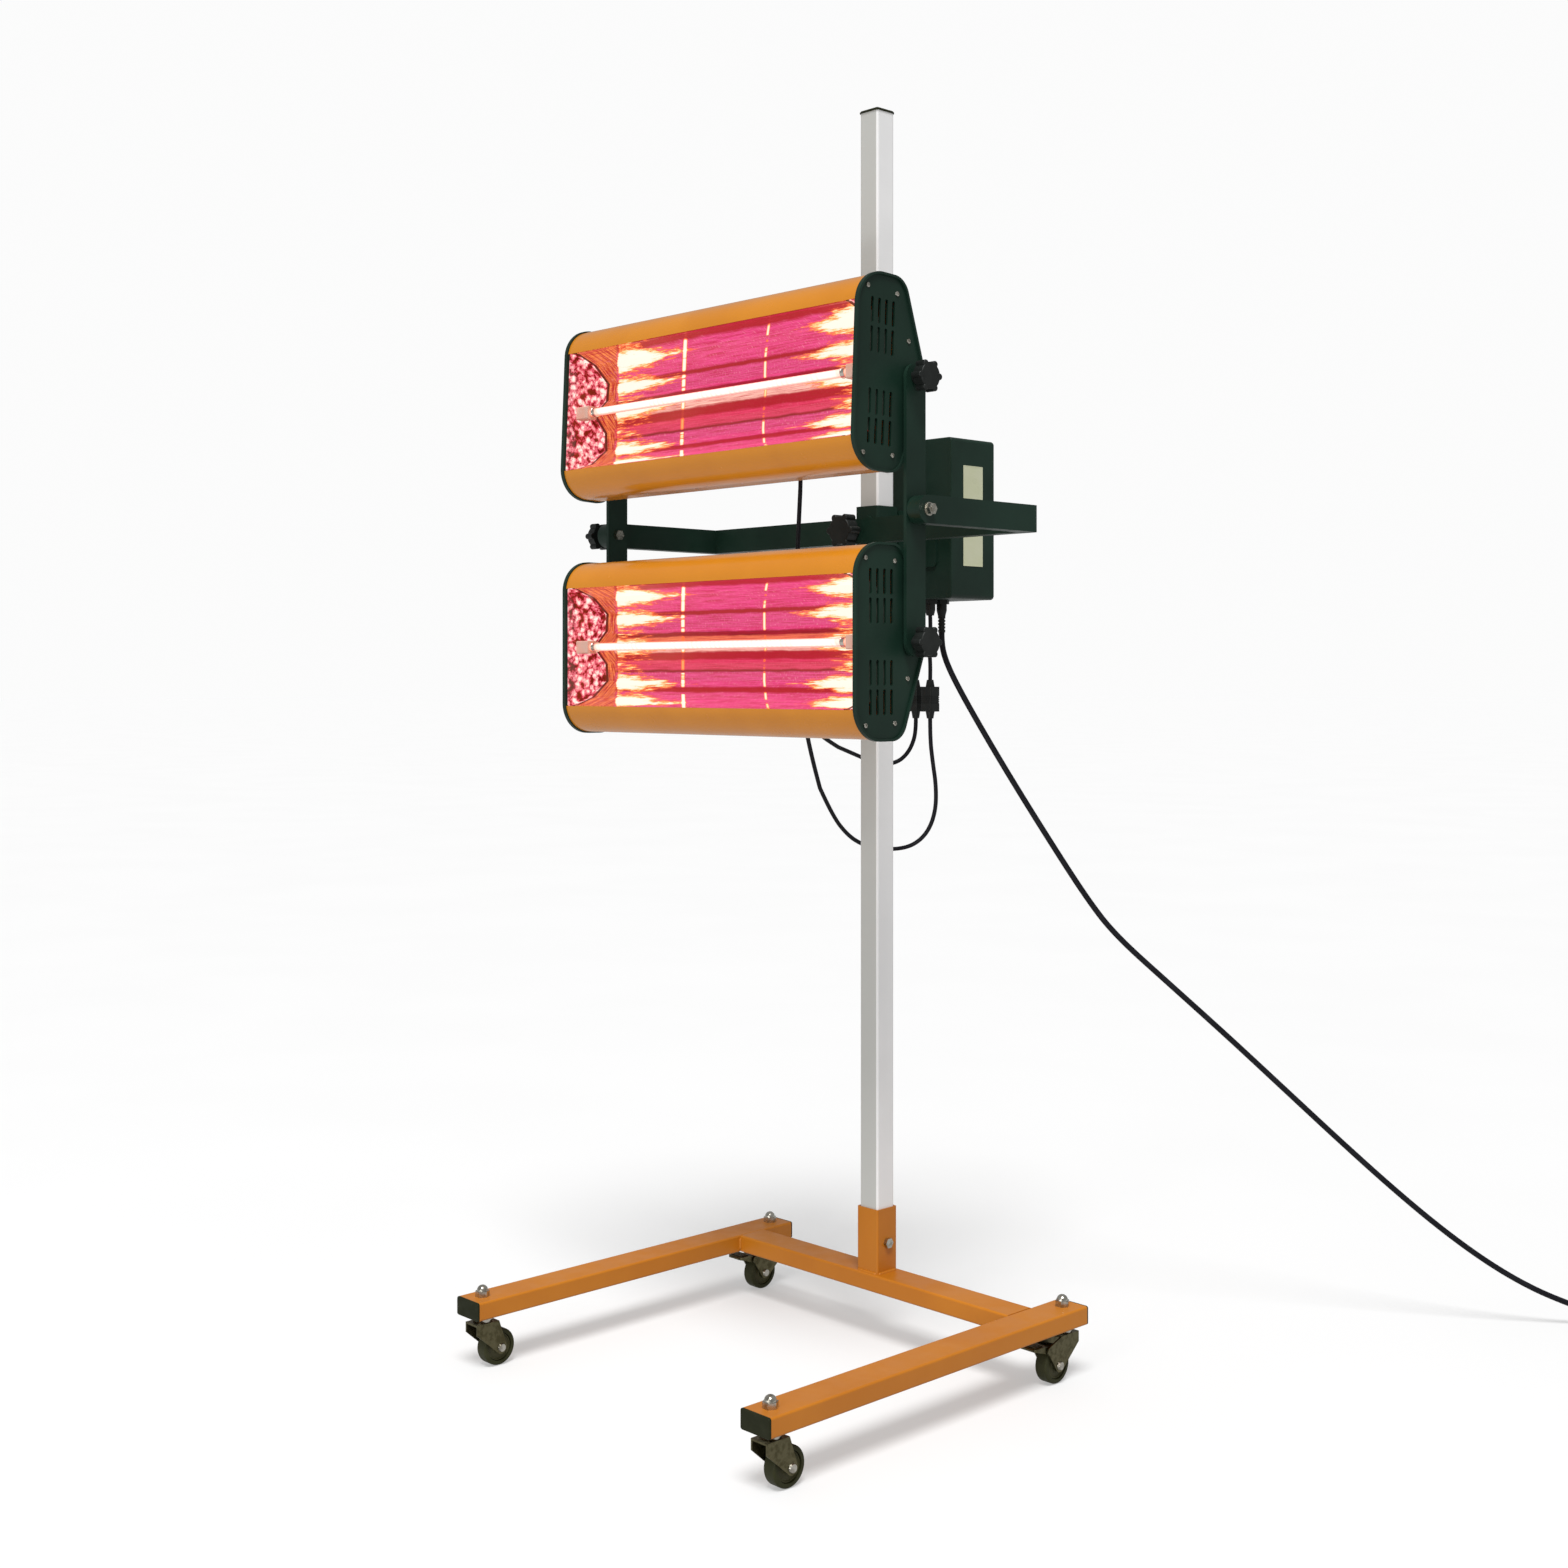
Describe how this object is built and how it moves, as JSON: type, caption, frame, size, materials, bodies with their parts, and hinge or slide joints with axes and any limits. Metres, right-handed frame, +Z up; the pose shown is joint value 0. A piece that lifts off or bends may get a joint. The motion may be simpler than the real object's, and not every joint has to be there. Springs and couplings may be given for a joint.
{
  "type": "infrared paint curing lamp",
  "caption": "Wheeled floor stand with tiltable infrared heater cassettes on a sliding, rolling yoke, with a control box and mains lead.",
  "frame": {"origin": "floor level, under the middle of the stand's box without its mains lead", "axes": "+Z up the post, -Y is the way the lamps shine, +X to the right seen from the front"},
  "size_m": [1.2221, 1.3907, 1.7534],
  "materials": {
    "orange_paint": "glossy orange paint",
    "orange_housing": "glossy orange paint on aluminium sheet",
    "post_paint": "satin light grey",
    "black_plastic": "moulded black",
    "green_paint": "satin dark green powder coat",
    "zinc": "zinc plate",
    "wheel": "dark olive rubber",
    "gold_reflector": "gold-coated polished",
    "quartz": "clear quartz",
    "ceramic": "unglazed ceramic",
    "cord_rubber": "smooth black rubber",
    "plug_rubber": "moulded black rubber"
  },
  "bodies": {
    "base": {"left_rail": "orange_paint", "right_rail": "orange_paint", "cross_member": "orange_paint", "rail_caps": "black_plastic", "post_socket": "orange_paint", "socket_bolt": "zinc", "post": "post_paint", "post_cap": "black_plastic", "caster_stems": "zinc", "acorn_nuts": "zinc", "mains_cord": "cord_rubber", "mains_coil": "cord_rubber", "mains_plug": "plug_rubber"},
    "carriage": {"carriage_sleeve": "green_paint", "box_bracket": "green_paint", "control_box": "green_paint", "box_cover": "green_paint", "box_glands": "black_plastic", "mains_relief": "plug_rubber", "lead_tails": "cord_rubber", "lead_connectors": "black_plastic", "upper_lamp_cord": "cord_rubber", "lower_lamp_cord": "cord_rubber"},
    "carriage_knob_body": {"carriage_knob": "black_plastic"},
    "yoke_body": {"yoke": "green_paint", "middle_bolts": "zinc"},
    "frame_tilt_knob_body": {"frame_tilt_knob": "black_plastic"},
    "arms_body": {"left_arm": "green_paint", "right_arm": "green_paint", "lamp_pivot_studs": "zinc"},
    "upper_lamp": {"upper_housing": "orange_housing", "upper_left_end_plate": "green_paint", "upper_right_end_plate": "green_paint", "upper_reflector": "gold_reflector", "upper_tube_holders": "ceramic", "upper_quartz_tube": "quartz", "upper_lamp_gland": "black_plastic"},
    "upper_knob_body": {"upper_lamp_knob": "black_plastic"},
    "lower_lamp": {"lower_housing": "orange_housing", "lower_left_end_plate": "green_paint", "lower_right_end_plate": "green_paint", "lower_reflector": "gold_reflector", "lower_tube_holders": "ceramic", "lower_quartz_tube": "quartz", "lower_lamp_gland": "black_plastic"},
    "lower_knob_body": {"lower_lamp_knob": "black_plastic"},
    "front_left_caster": {"front_left_fork": "zinc", "front_left_axle": "zinc"},
    "front_left_wheel_body": {"front_left_wheel": "wheel"},
    "front_right_caster": {"front_right_fork": "zinc", "front_right_axle": "zinc"},
    "front_right_wheel_body": {"front_right_wheel": "wheel"},
    "back_left_caster": {"back_left_fork": "zinc", "back_left_axle": "zinc"},
    "back_left_wheel_body": {"back_left_wheel": "wheel"},
    "back_left_pedal_body": {"back_left_brake_pedal": "zinc"},
    "back_right_caster": {"back_right_fork": "zinc", "back_right_axle": "zinc"},
    "back_right_wheel_body": {"back_right_wheel": "wheel"},
    "back_right_pedal_body": {"back_right_brake_pedal": "zinc"}
  },
  "joints": [
    {"name": "carriage_height", "type": "slide", "parent": "base", "child": "carriage", "axis": [0, 0, 1], "range_m": [-0.56, 0.54], "deforming": ["mains_cord"]},
    {"name": "carriage_knob_turn", "type": "hinge", "parent": "carriage", "child": "carriage_knob_body", "pos_m": [0, 0.12, 1.15], "axis": [0, 1, 0], "continuous": true},
    {"name": "yoke_roll", "type": "hinge", "parent": "carriage", "child": "yoke_body", "pos_m": [0, 0.14, 1.15], "axis": [0, 1, 0], "range_deg": [-90, 90], "deforming": ["upper_lamp_cord", "lower_lamp_cord"]},
    {"name": "frame_tilt_knob_turn", "type": "hinge", "parent": "yoke_body", "child": "frame_tilt_knob_body", "pos_m": [-0.33, -0.0665, 1.15], "axis": [1, 0, 0], "continuous": true},
    {"name": "frame_tilt", "type": "hinge", "parent": "yoke_body", "child": "arms_body", "pos_m": [0, -0.0665, 1.15], "axis": [1, 0, 0], "range_deg": [-35, 35], "deforming": ["upper_lamp_cord", "lower_lamp_cord"]},
    {"name": "upper_lamp_tilt", "type": "hinge", "parent": "arms_body", "child": "upper_lamp", "pos_m": [0, -0.0665, 1.314], "axis": [1, 0, 0], "range_deg": [-45, 45], "deforming": ["upper_lamp_cord"]},
    {"name": "upper_knob_turn", "type": "hinge", "parent": "arms_body", "child": "upper_knob_body", "pos_m": [0.31, -0.0665, 1.314], "axis": [1, 0, 0], "continuous": true},
    {"name": "lower_lamp_tilt", "type": "hinge", "parent": "arms_body", "child": "lower_lamp", "pos_m": [0, -0.0665, 0.986], "axis": [1, 0, 0], "range_deg": [-45, 45], "deforming": ["lower_lamp_cord"]},
    {"name": "lower_knob_turn", "type": "hinge", "parent": "arms_body", "child": "lower_knob_body", "pos_m": [0.31, -0.0665, 0.986], "axis": [1, 0, 0], "continuous": true},
    {"name": "front_left_swivel", "type": "hinge", "parent": "base", "child": "front_left_caster", "pos_m": [-0.287, -0.3065, 0.06], "axis": [0, 0, 1], "continuous": true},
    {"name": "front_left_roll", "type": "hinge", "parent": "front_left_caster", "child": "front_left_wheel_body", "pos_m": [-0.287, -0.2845, 0.025], "axis": [1, 0, 0], "continuous": true},
    {"name": "front_right_swivel", "type": "hinge", "parent": "base", "child": "front_right_caster", "pos_m": [0.287, -0.3065, 0.06], "axis": [0, 0, 1], "continuous": true},
    {"name": "front_right_roll", "type": "hinge", "parent": "front_right_caster", "child": "front_right_wheel_body", "pos_m": [0.287, -0.2845, 0.025], "axis": [1, 0, 0], "continuous": true},
    {"name": "back_left_swivel", "type": "hinge", "parent": "base", "child": "back_left_caster", "pos_m": [-0.287, 0.2335, 0.06], "axis": [0, 0, 1], "continuous": true},
    {"name": "back_left_roll", "type": "hinge", "parent": "back_left_caster", "child": "back_left_wheel_body", "pos_m": [-0.287, 0.2115, 0.025], "axis": [1, 0, 0], "continuous": true},
    {"name": "back_left_brake", "type": "hinge", "parent": "back_left_caster", "child": "back_left_pedal_body", "pos_m": [-0.287, 0.1915, 0.049], "axis": [1, 0, 0], "range_deg": [0, 15]},
    {"name": "back_right_swivel", "type": "hinge", "parent": "base", "child": "back_right_caster", "pos_m": [0.287, 0.2335, 0.06], "axis": [0, 0, 1], "continuous": true},
    {"name": "back_right_roll", "type": "hinge", "parent": "back_right_caster", "child": "back_right_wheel_body", "pos_m": [0.287, 0.2115, 0.025], "axis": [1, 0, 0], "continuous": true},
    {"name": "back_right_brake", "type": "hinge", "parent": "back_right_caster", "child": "back_right_pedal_body", "pos_m": [0.287, 0.1915, 0.049], "axis": [1, 0, 0], "range_deg": [0, 15]}
  ]
}
